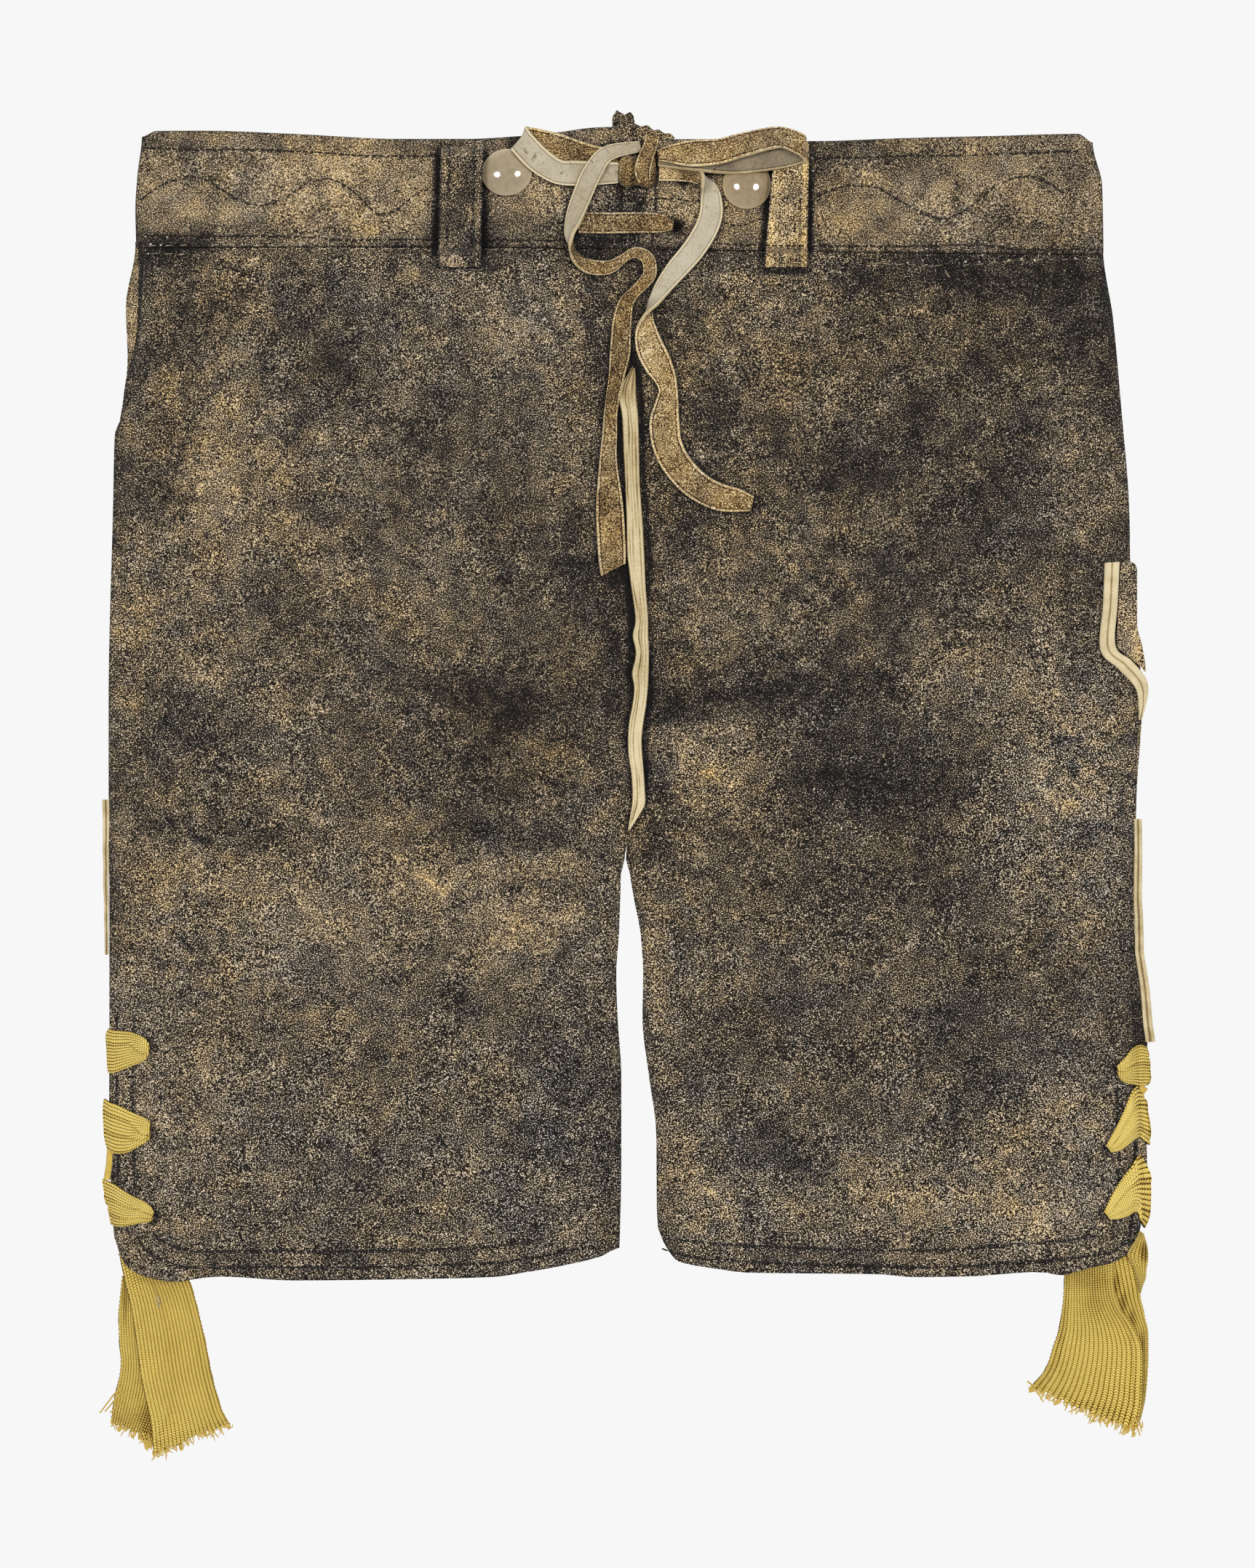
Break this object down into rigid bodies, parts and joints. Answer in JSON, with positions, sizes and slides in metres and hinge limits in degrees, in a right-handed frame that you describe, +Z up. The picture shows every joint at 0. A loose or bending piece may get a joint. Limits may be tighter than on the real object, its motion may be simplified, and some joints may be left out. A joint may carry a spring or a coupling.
{
  "type": "leather breeches",
  "caption": "Worn suede knee breeches laid flat, back up: split waistband with leather lace bow, seat-seam welt, knife pocket, leg vents laced with yellow braid.",
  "frame": {"origin": "on the surface that the garment lies on, in the middle of the garment and its hanging braid ends", "axes": "+X to the wearer's right, +Y towards the waist, +Z up off the surface, towards the back of the garment"},
  "size_m": [0.4341, 0.5553, 0.0152],
  "materials": {
    "suede": "worn mottled suede, dull",
    "welt": "raw cut edges, cream",
    "lace_leather": "suede one side, smooth the other",
    "braid": "knitted yarn",
    "pearl": "glossy mother-of-pearl"
  },
  "bodies": {
    "root": {"front_left": "suede", "front_right": "suede", "back_left": "suede", "back_right": "suede", "waistband_front": "suede", "waistband_back_left": "suede", "waistband_back_right": "suede", "gusset": "suede", "belt_loop_left": "suede", "belt_loop_right": "suede", "knife_pocket": "suede", "knife_pocket_welt": "welt", "seat_seam_welt": "welt", "side_seam_welt_left": "welt", "side_seam_welt_right": "welt", "button_left": "pearl", "button_right": "pearl", "lace_bar": "lace_leather", "lace_knot": "lace_leather", "lace_upper": "lace_leather", "lace_loop_left": "lace_leather", "lace_loop_right": "lace_leather", "lace_tail_left": "lace_leather", "lace_tail_right": "lace_leather", "braid_left_1": "braid", "braid_left_2": "braid", "braid_left_3": "braid", "braid_right_1": "braid", "braid_right_2": "braid", "braid_right_3": "braid", "braid_tail_left_front": "braid", "braid_tail_left_back": "braid", "braid_tail_right_front": "braid", "braid_tail_right_back": "braid", "braid_knot_right": "braid"}
  },
  "joints": []
}
